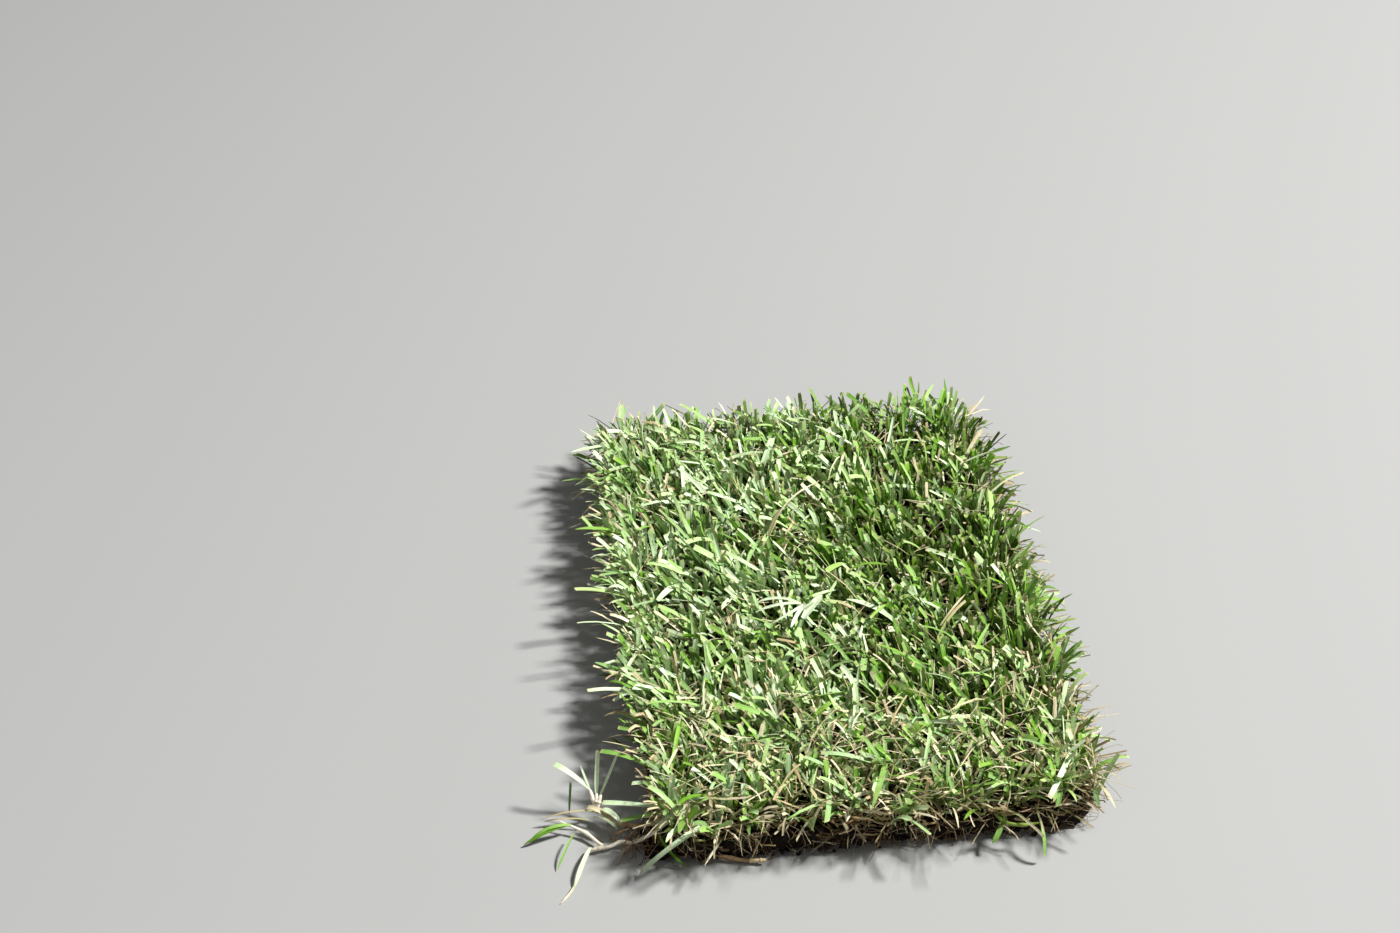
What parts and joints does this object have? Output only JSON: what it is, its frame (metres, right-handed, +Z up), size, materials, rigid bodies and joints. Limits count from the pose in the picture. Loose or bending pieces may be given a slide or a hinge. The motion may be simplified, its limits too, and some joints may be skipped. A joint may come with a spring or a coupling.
{
  "type": "turf slab",
  "caption": "Rectangular slab of living broad-leaved turf on its cut soil pad, laid flat, with mown leaves, thatch, cut runner ends and two loose runners.",
  "frame": {"origin": "middle of the slab's cut underside, leaving the loose runners out", "axes": "+Z up through the leaves, +Y along the slab's long side, +X across it; the picture shows the -Y end near the viewer and -X on the left"},
  "size_m": [0.5215, 0.6702, 0.077],
  "materials": {
    "soil": "dark crumbly root-bound soil",
    "thatch": "dry straw-coloured runners and dead sheaths",
    "leaf": "fresh green leaf with a faint waxy sheen",
    "runner": "smooth green and straw-coloured stem"
  },
  "bodies": {
    "root": {"soil_pad": "soil", "thatch_mat": "thatch", "leaf_canopy": "leaf", "leaf_blades": "leaf", "corner_runner": "runner", "front_runner": "runner"}
  },
  "joints": []
}
